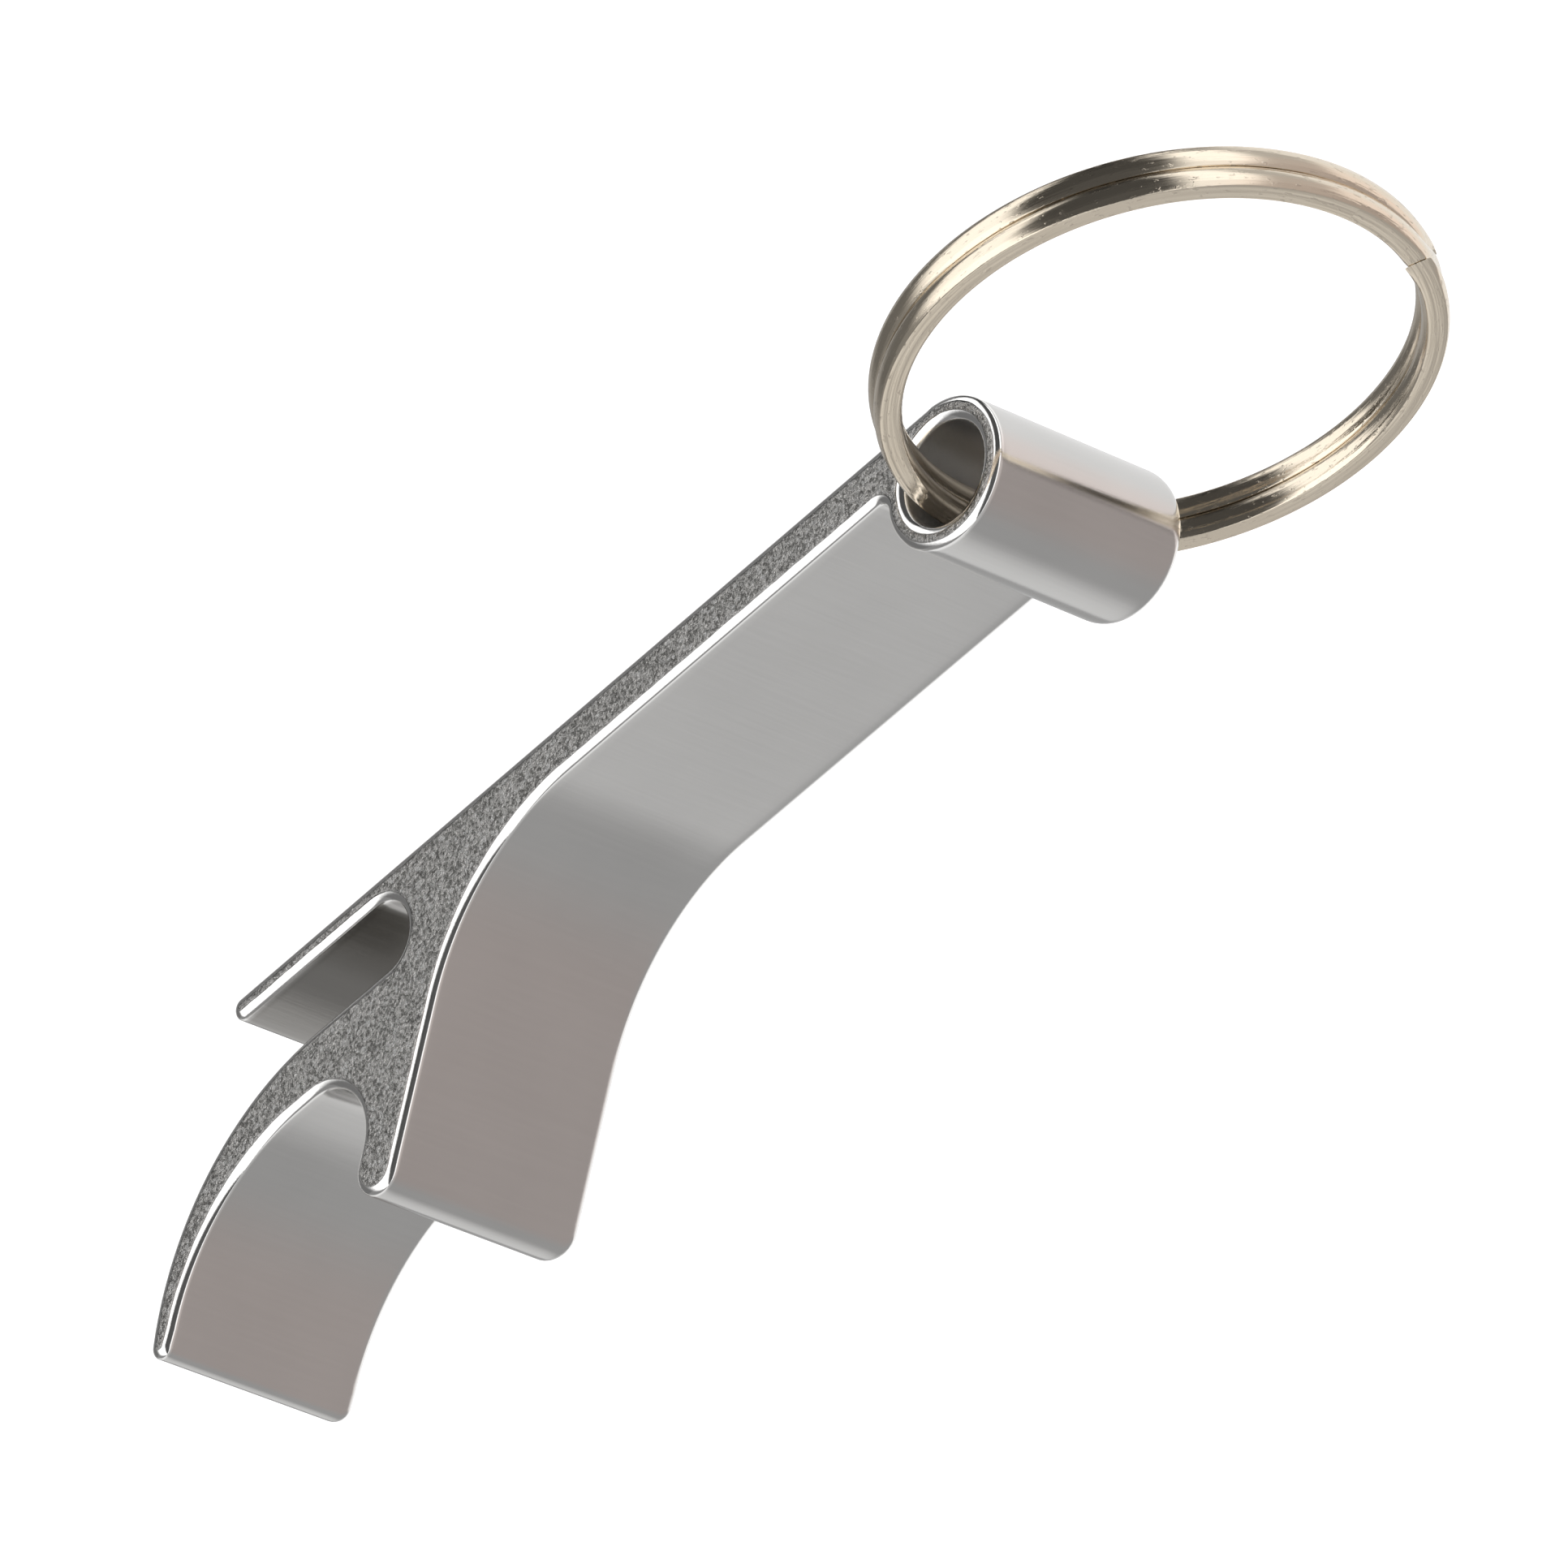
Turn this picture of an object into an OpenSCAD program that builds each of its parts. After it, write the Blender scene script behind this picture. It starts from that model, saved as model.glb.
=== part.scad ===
// Keychain bottle opener: one aluminium extrusion with a ring tube at one end,
// a crown-cap jaw and a can-tab prong at the other, and a split ring in the tube.
// Millimetres. The opener lies on its straight back at z = 0, x runs from the
// tube to the hook, and y runs across the width of the extrusion.

/* [Body] */
// Width of the extrusion, from one sawn end to the other
body_w = 11.2; // [8:0.1:20]
// Thickness of the straight arm
arm_t = 2.4; // [2:0.1:3]
// Length of the straight back, from the tube's axis to the prong's tip
back_l = 46.2; // [44:0.1:49]

/* [Ring tube] */
// Outer diameter of the tube
tube_d = 7; // [6.9:0.1:8]
// Diameter of the tube's bore
bore_d = 4.8; // [4.8:0.1:5.2]
// Rounding of the bore's two mouths
mouth_r = 0.75; // [0.5:0.05:0.8]

/* [Cap jaw] */
// Lean of the tooth away from the arm, in degrees
tooth_lean = 54.5; // [50:0.5:58]
// Thickness of the tooth
tooth_t = 2.58; // [2.2:0.02:2.8]
// Height of the tooth's tip above the back
tooth_h = 14.5; // [13.5:0.05:15]
// Radius of the bend between the arm and the tooth
bend_r = 12.5; // [8:0.5:14]
// Radius of the round bottom of the jaw
jaw_r = 2.7; // [2.2:0.1:3]
// Inner radius of the hook
hook_in_r = 11.7; // [11:0.1:12]
// Outer radius of the hook
hook_out_r = 14.9; // [14.5:0.1:15.5]
// Height of the hook's tip above the back
hook_h = 13.65; // [13:0.1:14.4]
// Radius of the hook's tip
hook_tip_r = 0.6; // [0.4:0.05:0.7]

/* [Can-tab prong] */
// Thickness of the prong
prong_t = 1.1; // [0.8:0.1:1.5]
// Height of the slot between the prong and the web
slot_h = 3.5; // [3:0.1:3.8]
// Distance from the tube's axis to the closed end of the slot
slot_x = 35.15; // [34.8:0.05:36]

/* [Split ring] */
// Outer diameter of the ring
ring_d = 25; // [24:0.5:26]
// Width of the wire, measured along the ring's radius
wire_w = 1.22; // [0.9:0.02:1.2]
// Thickness of the wire, measured along the ring's axis
wire_t = 1.08; // [0.8:0.02:1.1]
// Gap between the two turns
turn_gap = 0.04; // [0.03:0.01:0.1]
// Chamfer along the wire's edges
wire_c = 0.18; // [0.1:0.02:0.3]
// How far the ring's middle lies from the tube's axis
ring_reach = 10.45; // [10.4:0.05:10.6]
// How far the ring has slid along the tube from its middle
ring_slide = -2.35; // [-2.5:0.05:2.5]
// Where round the ring the wire steps over to its other turn, in degrees
step_at = 150; // [60:5:300]
// Half of the stretch that the step takes, in degrees
step_half = 8; // [7:1:25]

/* [Hidden] */
$fn = 96;
// The longest step along an arc of the outline, in degrees.
arc_step = 5;
tube_r = tube_d / 2;
bore_r = bore_d / 2;
fillet_r = 0.6;
prong_tip_r = 0.5;
// The model's origin is at the middle of the straight back.
rest_x = back_l / 2;
// Thickness of the web between the slot and the jaw.
web_t = 2.9;
// Where the hook and the jaw are centred along x, each from the one before, starting at the slot.
hook_set = 6.85;
hook_bow = 2;
jaw_set = 0.95;
// How far under the hook's top its inner face ends, and where its round tip ends, in degrees.
hook_lip = 0.9;
tip_turn = 150;
// The tooth leans along this direction; side points from its outer to its inner face.
lean = [cos(tooth_lean), sin(tooth_lean)];
side = [sin(tooth_lean), -cos(tooth_lean)];
slot_mid = [slot_x + slot_h / 2, prong_t + slot_h / 2];
web_z = prong_t + slot_h;
hook_out = [slot_x + hook_set, web_z + hook_out_r];
hook_in = [hook_out.x + hook_bow, web_z + web_t + hook_in_r];
jaw = [hook_out.x + jaw_set, hook_in.y - hook_in_r + jaw_r];
// The tooth's inner face is tangent to the jaw's round bottom.
inner_foot = jaw - jaw_r * side;
outer_foot = inner_foot - tooth_t * side;
tip_r = tooth_t / 2;
tip_run = (tooth_h - tip_r - (inner_foot - tip_r * side).y) / lean.y;
tooth_tip = inner_foot - tip_r * side + tip_run * lean;
// The arm's front and the tooth's outer face meet here, and the bend rounds that corner.
corner = outer_foot - (outer_foot.y - arm_t) / lean.y * lean;
bend = [corner.x - bend_r * tan(tooth_lean / 2), arm_t + bend_r];
// The hook's round tip sits between its two arcs, at its own height.
hook_tip_z = hook_h - hook_tip_r;
hook_tip = [hook_out.x + sqrt(pow(hook_out_r - hook_tip_r, 2) - pow(hook_out.y - hook_tip_z, 2)), hook_tip_z];
hook_out_end = atan2(hook_tip.y - hook_out.y, hook_tip.x - hook_out.x);
hook_in_end = asin((hook_h - hook_lip - hook_in.y) / hook_in_r);
fillet = [sqrt(pow(tube_r + fillet_r, 2) - pow(tube_r - arm_t - fillet_r, 2)), arm_t + fillet_r];
fillet_end = atan2(tube_r - fillet.y, -fillet.x);
ring_r = (ring_d - wire_w) / 2;
pitch = wire_t + turn_gap;
step_slope = atan(pitch / (2 * ring_r * sin(step_half)));
// The gap at each cut end of the wire, and the lap that joins the step to the turns, in degrees.
end_gap = 1.5;
lap = 0.6;

function arc(c, r, a0, a1) =
    let (n = max(2, ceil(abs(a1 - a0) / arc_step)))
    [for (i = [0:n]) let (a = a0 + (a1 - a0) * i / n) c + r * [cos(a), sin(a)]];

// The outline of the extrusion, walked from the tube along the back and round the jaws.
outline = concat(
    arc([back_l - prong_tip_r, prong_tip_r], prong_tip_r, -90, 0),
    arc([back_l - prong_tip_r, prong_t - prong_tip_r], prong_tip_r, 0, 90),
    arc(slot_mid, slot_h / 2, 270, 90),
    arc(hook_out, hook_out_r, -90, hook_out_end),
    arc(hook_tip, hook_tip_r, hook_out_end, tip_turn),
    arc(hook_in, hook_in_r, hook_in_end, -90),
    arc(jaw, jaw_r, -90, tooth_lean - 270),
    arc(tooth_tip, tip_r, tooth_lean - 90, tooth_lean + 90),
    arc(bend, bend_r, tooth_lean - 90, -90),
    arc(fillet, fillet_r, 270, fillet_end),
    arc([0, tube_r], tube_r, fillet_end - 180, 270)
);

// The bore's outline round its axis: straight through, with both mouths rounded.
mouth_mid = [bore_r + mouth_r, body_w / 2 - mouth_r];
bore = concat(
    arc(mouth_mid, mouth_r, 180, 90),
    [[mouth_mid.x, body_w], [0, body_w], [0, -body_w], [mouth_mid.x, -body_w]],
    arc([mouth_mid.x, -mouth_mid.y], mouth_r, -90, -180)
);

// The wire's cross section: a flat bar with chamfered edges.
wire = [
    for (q = [[1, 1], [-1, 1], [-1, -1], [1, -1]])
    for (k = (q.x * q.y > 0) ? [0, 1] : [1, 0])
    [q.x * (wire_w / 2 - k * wire_c), q.y * (wire_t / 2 - (1 - k) * wire_c)]
];

module opener_body() {
    color("silver")
    translate([-rest_x, 0, 0])
    rotate([90, 0, 0])
    difference() {
        linear_extrude(body_w, center = true) polygon(outline);
        translate([0, tube_r, 0]) rotate_extrude() polygon(bore);
    }
}

// One stretch of the wire round the ring's own axis.
module wire_arc(from, to) {
    rotate([0, 0, from])
    rotate_extrude(angle = to - from)
    translate([ring_r, 0]) polygon(wire);
}

module split_ring() {
    color("lightgray")
    translate([-rest_x - ring_reach, ring_slide, tube_r]) {
        translate([0, 0, pitch / 2]) wire_arc(step_at + step_half, step_at + 360 - step_half - end_gap);
        translate([0, 0, -pitch / 2]) wire_arc(step_at + step_half + end_gap, step_at + 360 - step_half);
        rotate([0, 0, step_at]) rotate([step_slope, 0, 0]) wire_arc(-step_half - lap, step_half + lap);
    }
}

opener_body();
split_ring();
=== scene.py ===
"""Looks for the keychain bottle opener: the tumbled aluminium extrusion and its nickel split ring."""
import math

import bmesh
import bpy
from mathutils import Matrix, Vector


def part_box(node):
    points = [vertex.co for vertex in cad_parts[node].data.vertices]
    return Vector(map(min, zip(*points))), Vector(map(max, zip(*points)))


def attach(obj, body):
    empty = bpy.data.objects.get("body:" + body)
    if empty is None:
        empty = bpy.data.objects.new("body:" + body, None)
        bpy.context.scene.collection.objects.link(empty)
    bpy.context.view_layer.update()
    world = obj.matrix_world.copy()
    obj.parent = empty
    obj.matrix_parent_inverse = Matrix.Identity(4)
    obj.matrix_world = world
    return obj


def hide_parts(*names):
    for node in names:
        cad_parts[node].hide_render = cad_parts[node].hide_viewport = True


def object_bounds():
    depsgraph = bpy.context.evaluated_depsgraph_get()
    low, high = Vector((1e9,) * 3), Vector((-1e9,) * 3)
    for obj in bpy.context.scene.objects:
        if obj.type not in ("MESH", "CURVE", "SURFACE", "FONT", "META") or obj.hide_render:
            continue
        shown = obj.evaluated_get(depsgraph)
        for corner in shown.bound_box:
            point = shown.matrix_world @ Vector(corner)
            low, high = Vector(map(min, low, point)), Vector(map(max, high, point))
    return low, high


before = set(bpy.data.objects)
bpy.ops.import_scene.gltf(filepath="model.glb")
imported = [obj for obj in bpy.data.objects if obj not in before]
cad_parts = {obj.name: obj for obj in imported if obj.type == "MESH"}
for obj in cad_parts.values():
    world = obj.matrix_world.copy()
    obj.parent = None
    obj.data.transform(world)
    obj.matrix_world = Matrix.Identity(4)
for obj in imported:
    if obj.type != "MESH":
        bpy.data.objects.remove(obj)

CAD_LO, CAD_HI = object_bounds()
MM = 0.001

# ---------------------------------------------------------------- sizes, in millimetres
BODY_LO, BODY_HI = [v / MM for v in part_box("opener_body")]
RING_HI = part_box("split_ring")[1] / MM
BODY_W = BODY_HI.y - BODY_LO.y
TUBE_R = 3.5
BORE_R = 2.4
TUBE_X = BODY_LO.x + TUBE_R
ARM_T = 2.4
BACK_L = 46.2
FILLET_R = 0.6
EDGE_R = 0.5
TUBE_EDGE_R = 0.42
MOUTH_R = 0.52
# The edges' rounding runs this many times as deep across the width as it is wide, at the near and the far end.
NEAR_DEPTH = 0.6
FAR_DEPTH = 1.8
# The far end's rounding also draws each tip back, this far at most, over this distance from the tip.
TIP_PULL = 0.45
TIP_ZONE = 3.2
# Every skin lies this far inside the CAD solid.
SKIN = 0.005

TOOTH_LEAN = 54.5
TOOTH_T = 2.58
TOOTH_H = BODY_HI.z
BEND_R = 12.5
JAW_R = 2.7
HOOK_IN_R = 11.7
HOOK_OUT_R = 14.9
HOOK_H = 13.65
HOOK_TIP_R = 0.6
HOOK_LIP = 0.9
HOOK_SET = 6.85
HOOK_BOW = 2
TIP_TURN = 150
WEB_T = 2.9
JAW_SET = 0.95
PRONG_T = 1.1
PRONG_TIP_R = 0.54
SLOT_H = 3.5
SLOT_X = 35.15

RING_R = 12.5
WIRE_W = 1.22
WIRE_T = 1.08
TURN_GAP = 0.04
RING_REACH = 10.45
RING_SLIDE = RING_HI.y - RING_R
STEP_AT = 150.0
STEP_HALF = 8.0
# Each end runs this many degrees past the step's middle, with this gap at its thin end.
TAIL = 6.4
WEDGE_GAP = 0.012
CUT_R = 0.06
RING_STEPS = 560


def unit(angle):
    """The unit vector at an angle in degrees."""
    a = math.radians(angle)
    return Vector((math.cos(a), math.sin(a)))


# ---------------------------------------------------------------- outline of the extrusion
class Outline:
    """A closed path in the section plane, with each point's outward normal and edge rounding."""

    def __init__(self):
        self.points = []

    def add(self, place, normal, rounding):
        if self.points and (self.points[-1][0] - place).length < 1e-4:
            return
        self.points.append((place, normal, rounding))

    def arc(self, centre, radius, start, end, rounding=EDGE_R, outward=1, spacing=0.3):
        """An arc of normals from start to end; outward is -1 where the centre is on the air side."""
        turn = abs(math.radians(end - start))
        steps = max(4, math.ceil(turn * radius / spacing), math.ceil(math.degrees(turn) / 7))
        for i in range(steps + 1):
            angle = start + (end - start) * i / steps
            self.add(centre + radius * unit(angle), outward * unit(angle), rounding)

    def line(self, end, spacing=0.5):
        """A straight run on from the last point."""
        start, normal, rounding = self.points[-1]
        steps = max(1, math.ceil((end - start).length / spacing))
        for i in range(1, steps + 1):
            self.add(start.lerp(end, i / steps), normal, rounding)


def body_outline():
    """The outer outline, and the three tips, each as its end and the direction that it points in."""
    path = Outline()
    tube = Vector((0, TUBE_R))
    lean, side = unit(TOOTH_LEAN), unit(TOOTH_LEAN - 90)
    hook_out = Vector((SLOT_X + HOOK_SET, PRONG_T + SLOT_H + HOOK_OUT_R))
    hook_in = Vector((hook_out.x + HOOK_BOW, PRONG_T + SLOT_H + WEB_T + HOOK_IN_R))
    jaw = Vector((hook_out.x + JAW_SET, hook_in.y - HOOK_IN_R + JAW_R))
    inner_foot = jaw - JAW_R * side
    tip_r = TOOTH_T / 2
    tip_run = (TOOTH_H - tip_r - (inner_foot - tip_r * side).y) / lean.y
    tooth_tip = inner_foot - tip_r * side + tip_run * lean
    outer_foot = inner_foot - TOOTH_T * side
    corner = outer_foot - (outer_foot.y - ARM_T) / lean.y * lean
    bend = Vector((corner.x - BEND_R * math.tan(math.radians(TOOTH_LEAN / 2)), ARM_T + BEND_R))
    tip_z = HOOK_H - HOOK_TIP_R
    reach = math.sqrt((HOOK_OUT_R - HOOK_TIP_R) ** 2 - (hook_out.y - tip_z) ** 2)
    hook_tip = Vector((hook_out.x + reach, tip_z))
    out_end = math.degrees(math.atan2(hook_tip.y - hook_out.y, hook_tip.x - hook_out.x))
    in_end = math.degrees(math.asin((HOOK_H - HOOK_LIP - hook_in.y) / HOOK_IN_R))
    rise = TUBE_R - ARM_T - FILLET_R
    fillet = Vector((math.sqrt((TUBE_R + FILLET_R) ** 2 - rise ** 2), ARM_T + FILLET_R))
    fillet_end = math.degrees(math.atan2(rise, -fillet.x))

    # The back, the prong and the slot behind it.
    path.add(Vector((0, 0)), unit(-90), EDGE_R)
    path.line(Vector((BACK_L - PRONG_TIP_R, 0)))
    path.arc(Vector((BACK_L - PRONG_TIP_R, PRONG_TIP_R)), PRONG_TIP_R, -90, 0)
    path.arc(Vector((BACK_L - PRONG_TIP_R, PRONG_T - PRONG_TIP_R)), PRONG_TIP_R, 0, 90)
    slot_mid = Vector((SLOT_X + SLOT_H / 2, PRONG_T + SLOT_H / 2))
    path.line(Vector((slot_mid.x, PRONG_T)))
    path.arc(slot_mid, SLOT_H / 2, 270, 90, outward=-1)
    path.line(Vector((hook_out.x, PRONG_T + SLOT_H)))
    # The hook, the jaw and the tooth.
    path.arc(hook_out, HOOK_OUT_R, -90, out_end)
    path.arc(hook_tip, HOOK_TIP_R, out_end, TIP_TURN)
    path.arc(hook_in, HOOK_IN_R, in_end, -90, outward=-1)
    path.arc(jaw, JAW_R, -90, TOOTH_LEAN - 270, outward=-1)
    path.line(tooth_tip + tip_r * side)
    path.arc(tooth_tip, tip_r, TOOTH_LEAN - 90, TOOTH_LEAN + 90)
    path.line(bend + BEND_R * side)
    path.arc(bend, BEND_R, TOOTH_LEAN - 90, -90, outward=-1)
    path.line(Vector((fillet.x, ARM_T)))
    path.arc(fillet, FILLET_R, 270, fillet_end, outward=-1)
    path.arc(tube, TUBE_R, fillet_end - 180, 270, TUBE_EDGE_R)
    if (path.points[-1][0] - path.points[0][0]).length < 1e-4:
        path.points.pop()
    prong_tip = Vector((BACK_L, PRONG_T / 2))
    tips = [(tooth_tip + tip_r * lean, lean), (hook_tip, unit(out_end + 90)), (prong_tip, unit(0))]
    return path.points, tips


# ---------------------------------------------------------------- meshes
END_STEPS = 8
SIDE_ROWS = 22


def link_mesh(mesh):
    """A smooth-shaded object of a mesh, under the mesh's own name."""
    mesh.polygons.foreach_set("use_smooth", [True] * len(mesh.polygons))
    obj = bpy.data.objects.new(mesh.name, mesh)
    bpy.context.scene.collection.objects.link(obj)
    return obj


def mesh_object(name, verts, faces):
    mesh = bpy.data.meshes.new(name)
    mesh.from_pydata(verts, [], faces)
    return link_mesh(mesh)


def loft(rings):
    """Verts and faces of a closed skin over closed rings of equal length."""
    count = len(rings[0])
    verts = [p for ring in rings for p in ring]
    faces = []
    for r in range(len(rings) - 1):
        for i in range(count):
            j = (i + 1) % count
            faces.append((r * count + i, r * count + j, (r + 1) * count + j, (r + 1) * count + i))
    faces.append(tuple(range(count - 1, -1, -1)))
    faces.append(tuple((len(rings) - 1) * count + i for i in range(count)))
    return verts, faces


def make_body():
    """The extrusion: its rounded outer skin, the rounded bore, and end faces pierced by the bore."""
    half = BODY_W / 2 - SKIN
    stations = [90.0 * (END_STEPS - k) / END_STEPS for k in range(END_STEPS + 1)]
    outline, tips = body_outline()
    bore = Outline()
    bore.arc(Vector((0, TUBE_R)), BORE_R, 360, 0, MOUTH_R, outward=-1, spacing=0.15)
    bore.points.pop()
    bm = bmesh.new()

    def pull(place):
        """How the far end's rounding draws a point near a tip back from that tip."""
        total = Vector((0, 0))
        for end, direction in tips:
            near = max(0.0, 1 - (place - end).length / TIP_ZONE)
            total -= direction * TIP_PULL * near * near * (3 - 2 * near)
        return total

    def row(points, angle, far, along=0.0):
        """One row of a skin: rounded over an end by angle, or a fraction along between the two ends' edges."""
        turn = math.radians(angle)
        made = []
        for place, normal, rounding in points:
            start = NEAR_DEPTH * rounding * (1 - math.sin(turn)) - half
            finish = half - FAR_DEPTH * rounding * (1 - math.sin(turn))
            y = finish if far else start + (finish - start) * along
            p = place - (rounding * (1 - math.cos(turn)) + SKIN) * normal
            if far:
                p += pull(place) * (1 - math.cos(turn))
            made.append(bm.verts.new(((p.x + TUBE_X) * MM, y * MM, p.y * MM)))
        return made

    def skin(points):
        rows = [row(points, angle, False) for angle in stations]
        rows += [row(points, 0, False, k / SIDE_ROWS) for k in range(1, SIDE_ROWS)]
        rows += [row(points, angle, True) for angle in reversed(stations)]
        for below, above in zip(rows, rows[1:]):
            for i in range(len(points)):
                j = (i + 1) % len(points)
                bm.faces.new((below[i], below[j], above[j], above[i]))
        return rows

    outer, inner = skin(outline), skin(bore.points)
    for end in (0, -1):
        loops = []
        for rows in (outer, inner):
            ring = rows[end]
            loops += [bm.edges.get((ring[i], ring[(i + 1) % len(ring)])) for i in range(len(ring))]
        bmesh.ops.triangle_fill(bm, use_beauty=True, edges=loops)
    bmesh.ops.recalc_face_normals(bm, faces=bm.faces)
    mesh = bpy.data.meshes.new("opener_body_skin")
    bm.to_mesh(mesh)
    bm.free()
    return link_mesh(mesh)


def wire_section():
    """The wire's cross section: flat faces and barrelled edges, as (radial, axial) offsets."""
    barrel, corner = 0.85, 0.12
    w, t = WIRE_W / 2 - SKIN, WIRE_T / 2
    tilt = math.degrees(math.asin((t - corner) / (barrel - corner)))
    blend = Vector((w - barrel, 0)) + (barrel - corner) * unit(tilt)
    quarter = [Vector((w - barrel, 0)) + barrel * unit(tilt * i / 7) for i in range(8)]
    quarter += [blend + corner * unit(tilt + (90 - tilt) * i / 3) for i in range(1, 4)]
    quarter += [Vector((blend.x * f, t)) for f in (0.66, 0.33)]
    top = [Vector((0, t))]
    right = quarter
    left = [Vector((-p.x, p.y)) for p in reversed(quarter)]
    upper = right + top + left
    lower = [Vector((p.x, -p.y)) for p in reversed(upper)][1:-1]
    return upper + lower


def ease(value):
    """Runs smoothly from 0 to 1 while value does."""
    f = min(1.0, max(0.0, value))
    return f * f * (3 - 2 * f)


def make_ring():
    """Two turns of wire. Where it steps across, each cut end tapers into the wedge beside the step."""
    section = wire_section()
    pitch = WIRE_T + TURN_GAP
    mid_r = RING_R - WIRE_W / 2
    centre = Vector((TUBE_X - RING_REACH, RING_SLIDE, TUBE_R))
    start, end = STEP_AT - TAIL, STEP_AT + 720 + TAIL
    rings = []

    def ring(angle, shrink=1.0):
        """The section at an angle, thinned inside a tapered end."""
        steps = [ease((angle - STEP_AT - turn) / (2 * STEP_HALF) + 0.5) for turn in (0, 360, 720)]
        step_before, step, step_after = steps
        z = pitch * (step - 0.5)
        thick = WIRE_T
        if step_before < 1:
            thick = (WIRE_T + WEDGE_GAP) * step_before - WEDGE_GAP
            z -= (WIRE_T - thick) / 2
        if step_after > 0:
            thick = (WIRE_T + WEDGE_GAP) * (1 - step_after) - WEDGE_GAP
            z += (WIRE_T - thick) / 2
        out = unit(angle)
        row = []
        for p in section:
            r = mid_r + p.x * shrink
            place = centre + Vector((out.x * r, out.y * r, z + p.y * shrink * thick / WIRE_T))
            row.append(tuple(place * MM))
        return row

    cut = math.degrees(CUT_R / mid_r)
    rings += [ring(start, 0.86), ring(start + cut * 0.3, 0.95)]
    for i in range(RING_STEPS + 1):
        rings.append(ring(start + cut + (end - start - 2 * cut) * i / RING_STEPS))
    rings += [ring(end - cut * 0.3, 0.95), ring(end, 0.86)]
    verts, faces = loft(rings)
    return mesh_object("split_ring_wire", verts, faces)


# ---------------------------------------------------------------- materials
class Nodes:
    """Short calls for building one node tree; a socket or a number may be given as any input."""

    def __init__(self, tree):
        self.tree = tree

    def new(self, kind, **values):
        node = self.tree.nodes.new(kind)
        for key, value in values.items():
            setattr(node, key, value)
        return node

    def put(self, value, socket):
        if isinstance(value, bpy.types.NodeSocket):
            self.tree.links.new(value, socket)
        else:
            socket.default_value = value

    def math(self, operation, *values):
        node = self.new("ShaderNodeMath", operation=operation)
        for value, socket in zip(values, node.inputs):
            self.put(value, socket)
        return node.outputs[0]

    def vector(self, operation, *values):
        node = self.new("ShaderNodeVectorMath", operation=operation)
        for value, socket in zip(values, node.inputs):
            self.put(value, socket)
        return node.outputs["Value" if operation in ("DOT_PRODUCT", "LENGTH") else "Vector"]

    def ramp(self, value, low, high, out_low=0.0, out_high=1.0):
        """Eases smoothly from out_low to out_high while value runs from low to high."""
        node = self.new("ShaderNodeMapRange", interpolation_type="SMOOTHSTEP")
        for given, socket in zip((value, low, high, out_low, out_high), node.inputs):
            self.put(given, socket)
        return node.outputs[0]

    def mix(self, factor, first, second):
        node = self.new("ShaderNodeMix", data_type="RGBA")
        self.put(factor, node.inputs[0])
        self.put(first, node.inputs[6])
        self.put(second, node.inputs[7])
        return node.outputs[2]

    def blend(self, factor, first, second):
        node = self.new("ShaderNodeMix", data_type="FLOAT")
        for given, socket in zip((factor, first, second), (node.inputs[0], node.inputs[2], node.inputs[3])):
            self.put(given, socket)
        return node.outputs[0]

    def noise(self, place, scale, detail=2.0, roughness=0.5):
        """Noise from 0 to 1; scale is in cycles per unit of place."""
        node = self.new("ShaderNodeTexNoise")
        inputs = {"Vector": place, "Scale": scale, "Detail": detail, "Roughness": roughness}
        for socket, given in inputs.items():
            self.put(given, node.inputs[socket])
        return node.outputs["Fac"]

    def cells(self, place, scale, feature="F1", output="Distance"):
        node = self.new("ShaderNodeTexVoronoi", feature=feature)
        self.put(place, node.inputs["Vector"])
        self.put(scale, node.inputs["Scale"])
        return node.outputs[output]

    def bump(self, height, depth, below=None):
        """A bump of height 0 to 1 that stands depth millimetres, over the bump below it."""
        node = self.new("ShaderNodeBump")
        self.put(depth * MM, node.inputs["Distance"])
        self.put(height, node.inputs["Height"])
        if below is not None:
            self.put(below, node.inputs["Normal"])
        return node.outputs[0]


def grey(value, warmth=0.0):
    return (value * (1 + warmth), value, value * (1 - 1.6 * warmth), 1)


def new_material(name):
    """A material, its tree helper, its shader and its object-space place in millimetres."""
    material = bpy.data.materials.new(name)
    material.use_nodes = True
    n = Nodes(material.node_tree)
    place = n.vector("MULTIPLY", n.new("ShaderNodeTexCoord").outputs["Object"], (1 / MM,) * 3)
    return material, n, material.node_tree.nodes["Principled BSDF"], place


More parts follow.
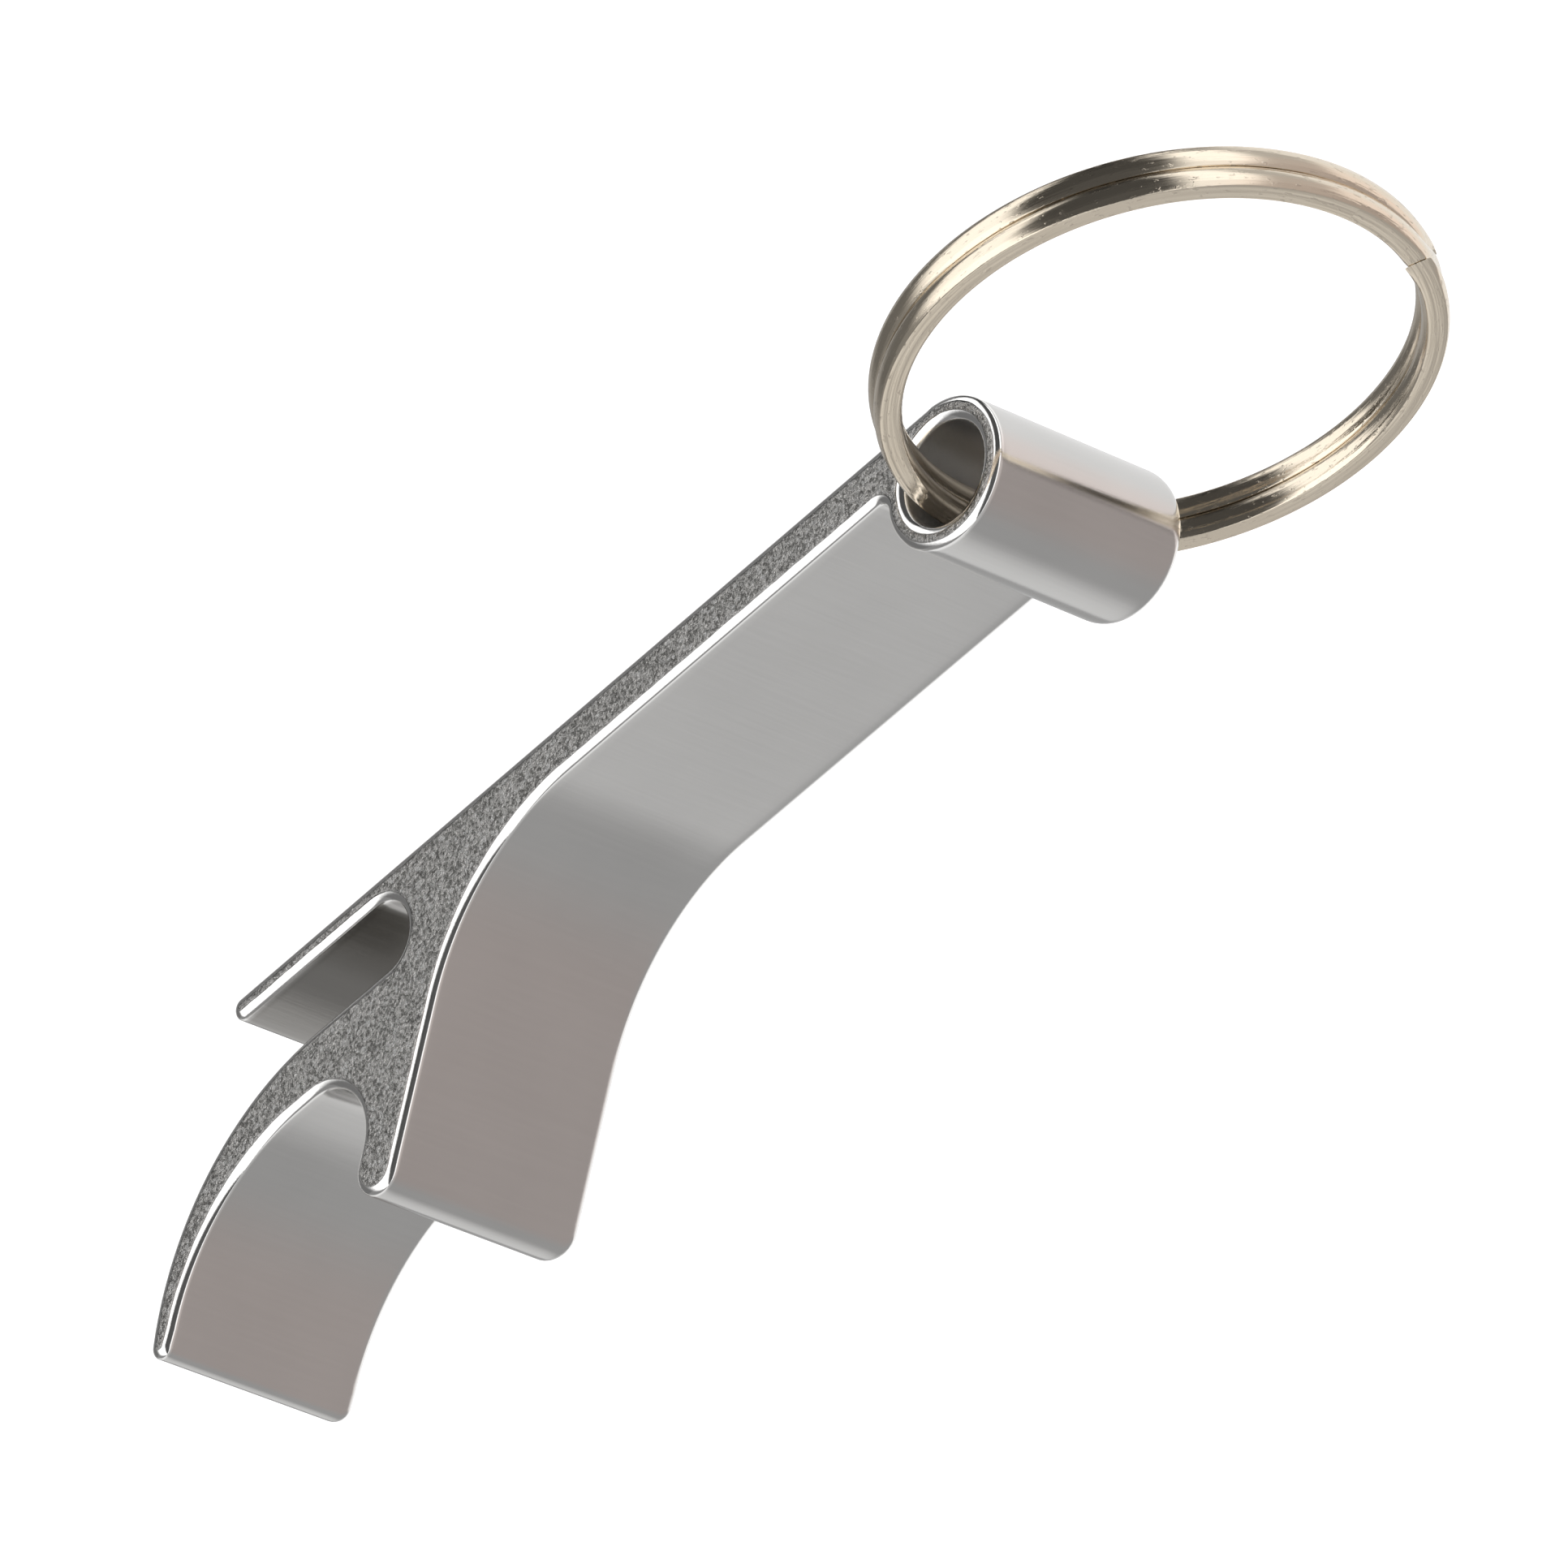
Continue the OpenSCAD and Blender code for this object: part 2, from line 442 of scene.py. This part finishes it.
def aluminium():
    """Tumbled aluminium: grainy saw-cut ends, burnished round edges, satin sides, a dull bore painted paler
    (painted light) and painted shade in the slot.
    """
    material, n, shader, place = new_material("tumbled_aluminium")
    parts = n.new("ShaderNodeSeparateXYZ")
    n.put(place, parts.inputs[0])
    x, y, z = parts.outputs
    half = BODY_W / 2
    out = n.math("ABSOLUTE", y)
    wander = n.noise(place, 0.9)
    end = n.ramp(out, n.math("ADD", half - 0.030, n.math("MULTIPLY", wander, 0.02)), half - 0.003)
    edge = n.math("MULTIPLY", n.ramp(out, half - 0.40, half - 0.26), n.math("SUBTRACT", 1.0, end))
    axis = n.new("ShaderNodeCombineXYZ")
    n.put(n.math("SUBTRACT", x, TUBE_X), axis.inputs[0])
    n.put(n.math("SUBTRACT", z, TUBE_R), axis.inputs[2])
    # The bore's inside: rougher, and painted light, its colour made paler than the sides so that the shaded
    # inside reads as lit.
    bore = n.ramp(n.vector("LENGTH", axis.outputs[0]), BORE_R + 0.08, BORE_R + 0.02)
    # Painted shade: the walls of the slot behind the prong are coloured darker, standing in for the shade in
    # that recess.
    slot_painted_shade = n.math("MULTIPLY", n.ramp(x, TUBE_X + SLOT_X - 0.3, TUBE_X + SLOT_X + 1.2),
                  n.math("MULTIPLY", n.ramp(z, PRONG_T - 0.25, PRONG_T - 0.05),
                         n.ramp(z, PRONG_T + SLOT_H + 0.25, PRONG_T + SLOT_H + 0.05)))
    slot_painted_shade = n.math("MULTIPLY", slot_painted_shade, n.ramp(out, half - 0.3, half - 0.6))

    cloud = n.noise(place, 0.16, 3)
    grain = n.noise(place, 6.0, 4, 0.7)
    pits = n.cells(place, 6.0)
    specks = n.ramp(n.cells(place, 5.6, output="Color"), 0.70, 0.86)
    lines_place = n.vector("MULTIPLY", place, (1.0, 0.035, 1.0))
    lines = n.noise(lines_place, 4.5, 5, 0.7)
    fine = n.noise(place, 22.0, 2)

    satin = n.mix(cloud, grey(0.60, 0.012), grey(0.68, 0.012))
    satin = n.mix(n.ramp(lines, 0.35, 0.7, 0.0, 0.12), satin, grey(0.74, 0.012))
    rough_cut = n.mix(n.ramp(grain, 0.36, 0.62), grey(0.22, 0.03), grey(0.93, 0.02))
    rough_cut = n.mix(n.math("MULTIPLY", specks, 0.9), rough_cut, grey(0.95, 0.01))
    colour = n.mix(edge, satin, grey(0.93, 0.01))
    colour = n.mix(end, colour, rough_cut)
    # Painted light in the bore: a paler grey over its inside.
    colour = n.mix(n.math("MULTIPLY", bore, 0.9), colour, grey(0.90, 0.0))
    # Painted shade in the slot: a darker grey over its walls.
    colour = n.mix(n.math("MULTIPLY", slot_painted_shade, 0.8), colour, grey(0.36, 0.03))
    n.put(colour, shader.inputs["Base Color"])

    rough = n.ramp(lines, 0.3, 0.75, 0.13, 0.18)
    rough = n.blend(edge, rough, n.ramp(wander, 0.3, 0.7, 0.08, 0.13))
    rough = n.blend(end, rough, n.ramp(grain, 0.35, 0.7, 0.34, 0.16))
    rough = n.blend(bore, rough, 0.38)
    n.put(rough, shader.inputs["Roughness"])
    shader.inputs["Metallic"].default_value = 1.0

    side = n.math("SUBTRACT", 1.0, end)
    normal = n.bump(n.math("MULTIPLY", lines, side), 0.003)
    normal = n.bump(n.math("MULTIPLY", fine, side), 0.0012, normal)
    normal = n.bump(n.math("MULTIPLY", n.ramp(pits, 0.05, 0.5), end), 0.09, normal)
    normal = n.bump(n.math("MULTIPLY", grain, end), 0.20, normal)
    n.put(normal, shader.inputs["Normal"])
    return material


def nickel():
    """Polished nickel wire with draw marks along it, handling scratches and a little warmth."""
    material, n, shader, place = new_material("polished_nickel")
    shader.inputs["Metallic"].default_value = 1.0
    local = n.vector("SUBTRACT", place, (TUBE_X - RING_REACH, RING_SLIDE, TUBE_R))
    parts = n.new("ShaderNodeSeparateXYZ")
    n.put(local, parts.inputs[0])
    x, y, z = parts.outputs
    radius = n.math("SQRT", n.math("ADD", n.math("MULTIPLY", x, x), n.math("MULTIPLY", y, y)))
    along = n.math("MULTIPLY", n.math("ARCTAN2", y, x), RING_R)
    wire = n.new("ShaderNodeCombineXYZ")
    for value, socket in zip((radius, along, z), wire.inputs):
        n.put(value, socket)
    drawn = n.noise(n.vector("MULTIPLY", wire.outputs[0], (1.0, 0.05, 1.0)), 6.0, 4, 0.65)
    waves = n.noise(n.vector("MULTIPLY", wire.outputs[0], (1.0, 0.03, 1.0)), 2.6, 2, 0.5)
    nicks = n.ramp(n.noise(n.vector("MULTIPLY", wire.outputs[0], (1.0, 0.3, 1.0)), 7.0, 3), 0.60, 0.72)
    cloud = n.noise(place, 0.35, 3)
    colour = n.mix(cloud, (0.77, 0.675, 0.54, 1), (0.84, 0.75, 0.625, 1))
    colour = n.mix(n.math("MULTIPLY", nicks, 0.35), colour, (0.46, 0.40, 0.33, 1))
    n.put(colour, shader.inputs["Base Color"])
    n.put(n.math("ADD", n.ramp(drawn, 0.3, 0.7, 0.10, 0.19), n.math("MULTIPLY", nicks, 0.1)),
          shader.inputs["Roughness"])
    normal = n.bump(waves, 0.06)
    normal = n.bump(drawn, 0.012, normal)
    normal = n.bump(nicks, 0.006, normal)
    n.put(normal, shader.inputs["Normal"])
    return material


FLOOR_GLOW = 0.25


def floor_paint():
    """White floor paint, clear from below so that the underside can be looked at."""
    material, n, shader, _ = new_material("floor_paint")
    shader.inputs["Base Color"].default_value = (0.9, 0.9, 0.9, 1)
    shader.inputs["Roughness"].default_value = 0.9
    shader.inputs["Specular IOR Level"].default_value = 0.0
    shader.inputs["Emission Color"].default_value = (1, 1, 1, 1)
    shader.inputs["Emission Strength"].default_value = FLOOR_GLOW
    clear = n.new("ShaderNodeBsdfTransparent")
    sides = n.new("ShaderNodeMixShader")
    n.put(n.new("ShaderNodeNewGeometry").outputs["Backfacing"], sides.inputs[0])
    n.put(shader.outputs[0], sides.inputs[1])
    n.put(clear.outputs[0], sides.inputs[2])
    n.put(sides.outputs[0], material.node_tree.nodes["Material Output"].inputs[0])
    return material


# ---------------------------------------------------------------- the pieces
body = make_body()
body.data.materials.append(aluminium())
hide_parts("opener_body")
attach(body, "opener")

ring = make_ring()
ring.data.materials.append(nickel())
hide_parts("split_ring")
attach(ring, "ring")


# ---------------------------------------------------------------- floor, light and camera
def make_floor():
    """A plain floor a little way below the opener, which the metal doesn't mirror."""
    size, drop = 6.0, 0.03
    verts = [(sx * size, sy * size, -drop) for sx, sy in ((-1, -1), (1, -1), (1, 1), (-1, 1))]
    floor = mesh_object("floor", verts, [(0, 1, 2, 3)])
    floor.data.materials.append(floor_paint())
    floor.visible_glossy = False


def softbox(name, direction, distance, size, power):
    """A round light out along direction, facing the opener, which lights the floor but shows in no metal."""
    light = bpy.data.lights.new(name, "AREA")
    light.shape = "DISK"
    light.size = size
    light.energy = power
    obj = bpy.data.objects.new(name, light)
    away = Vector(direction).normalized()
    obj.location = (CAD_LO + CAD_HI) / 2 + away * distance
    obj.rotation_mode = "QUATERNION"
    obj.rotation_quaternion = away.to_track_quat("Z", "Y")
    obj.visible_glossy = False
    obj.visible_camera = False
    bpy.context.scene.collection.objects.link(obj)


# What the metal mirrors; the camera sees plain white instead. The studio's soft walls: from and to which
# azimuth, in degrees from +X towards +Y, and how bright each is below and above the horizon.
# Between two walls the brightness eases from one to the other.
WALLS = [
    (15, 36, 0.40, 0.80),  # side wall
    (66, 142, 0.95, 0.43),  # far wall
    (156, 174, 0.55, 0.50),  # its dim corner
    (187, 202, 1.40, 1.15),  # bright panel beside the camera
    (214, 264, 0.07, 0.09),  # the dark side, where the camera stands
    (275, 306, 1.35, 1.55),  # bright panel on the camera's other side
    (324, 350, 0.16, 0.24),  # dim side wall
]
DIM_WALL_MIDDLE = 337
# A faint rosy tint: towards where, how many degrees round, and the tint.
ROSY_WALL = ((-0.75, 0.62, 0.25), 60.0, (1.07, 0.965, 0.93))
# How much of the brightness is left straight below.
UNDER_SHADE = 0.14
# The walls are divided by this in the colour ramps, and the background is multiplied by it.
SKY_TOP = 2.0
# A thin dark strip that the tube mirrors as a line along it: towards where, its half height, and its reach.
DARK_STRIP = ((-0.783, 0.6225, 0.012), 0.030, 22.0)
STRIP_GREY = 0.04


def by_azimuth(n, turn, walls):
    """Brightness of walls given as (from, to, brightness), at a turn counted from the last one's middle."""
    stops = []
    for start, end, bright in walls:
        stops += [((azimuth - DIM_WALL_MIDDLE) % 360 / 360, bright / SKY_TOP) for azimuth in (start, end)]
    stops.sort()
    ramp = n.new("ShaderNodeValToRGB")
    ramp.color_ramp.interpolation = "EASE"
    elements = ramp.color_ramp.elements
    for place, bright in stops[1:-1]:
        elements.new(place)
    for element, (place, bright) in zip(elements, stops):
        element.position = place
        element.color = grey(bright)
    n.put(turn, ramp.inputs[0])
    return ramp.outputs[0]


def make_world():
    """The surroundings by direction: the walls, the dark strip, the rosy tint and the shade below."""
    world = bpy.data.worlds.new("studio")
    world.use_nodes = True
    n = Nodes(world.node_tree)
    look = n.new("ShaderNodeTexCoord").outputs["Generated"]
    parts = n.new("ShaderNodeSeparateXYZ")
    n.put(look, parts.inputs[0])
    x, y, z = parts.outputs
    turn = n.math("FRACT", n.math("SUBTRACT", n.math("DIVIDE", n.math("ARCTAN2", y, x), 2 * math.pi),
                                  DIM_WALL_MIDDLE / 360))
    below = by_azimuth(n, turn, [(start, end, low) for start, end, low, high in WALLS])
    above = by_azimuth(n, turn, [(start, end, high) for start, end, low, high in WALLS])
    sky = n.mix(n.ramp(z, -0.02, 0.02), below, above)
    toward, thickness, reach = DARK_STRIP
    near = n.ramp(n.vector("DOT_PRODUCT", look, tuple(Vector(toward).normalized())),
                  math.cos(math.radians(reach)), math.cos(math.radians(reach / 3)))
    thin = n.ramp(n.math("ABSOLUTE", n.math("SUBTRACT", z, toward[2])), thickness, thickness / 3)
    sky = n.mix(n.math("MULTIPLY", near, thin), sky, grey(STRIP_GREY))
    toward, reach, tint = ROSY_WALL
    rosy = n.ramp(n.vector("DOT_PRODUCT", look, tuple(Vector(toward).normalized())),
                  math.cos(math.radians(reach)), math.cos(math.radians(reach / 3)))
    sky = n.vector("MULTIPLY", sky, n.mix(rosy, grey(1.0), (*tint, 1)))
    sky = n.vector("MULTIPLY", sky, n.mix(n.ramp(z, -0.985, -0.93), grey(UNDER_SHADE), grey(1.0)))
    seen = n.new("ShaderNodeLightPath").outputs["Is Camera Ray"]
    background = world.node_tree.nodes["Background"]
    n.put(n.mix(seen, sky, grey(1 / SKY_TOP)), background.inputs["Color"])
    background.inputs["Strength"].default_value = SKY_TOP
    bpy.context.scene.world = world


# The camera looks along (0.506, 0.623, -0.597) and is rolled, so that the hook hangs down to the left.
LENS_PER_WIDTH = 11.387
SENSOR = 36.0
CAMERA_RIGHT = Vector((-0.65815, 0.72613, 0.19893))
CAMERA_UP = Vector((-0.55706, -0.29190, -0.77748))
TUBE_END = Vector((TUBE_X, BODY_LO.y, TUBE_R)) * MM
TUBE_DISTANCE = 0.7612
TUBE_RIGHT, TUBE_DOWN = 0.0088, -0.0175


def make_camera():
    """A long lens, so that the view is nearly parallel."""
    data = bpy.data.cameras.new("camera")
    data.sensor_width = SENSOR
    data.lens = LENS_PER_WIDTH * SENSOR
    data.clip_start, data.clip_end = 0.01, 50
    back = CAMERA_RIGHT.cross(CAMERA_UP).normalized()
    up = back.cross(CAMERA_RIGHT).normalized()
    axes = Matrix((CAMERA_RIGHT.normalized(), up, back)).transposed()
    across = TUBE_DISTANCE * TUBE_RIGHT
    obj = bpy.data.objects.new("camera", data)
    obj.location = TUBE_END + back * TUBE_DISTANCE - CAMERA_RIGHT * across + up * TUBE_DISTANCE * TUBE_DOWN
    obj.rotation_mode = "QUATERNION"
    obj.rotation_quaternion = axes.to_quaternion()
    bpy.context.scene.collection.objects.link(obj)
    bpy.context.scene.camera = obj


make_floor()
make_world()
softbox("overhead_light", (-0.2, 0.1, 1.0), 1.6, 2.5, 22)
make_camera()
bpy.context.scene.view_settings.view_transform = "Standard"
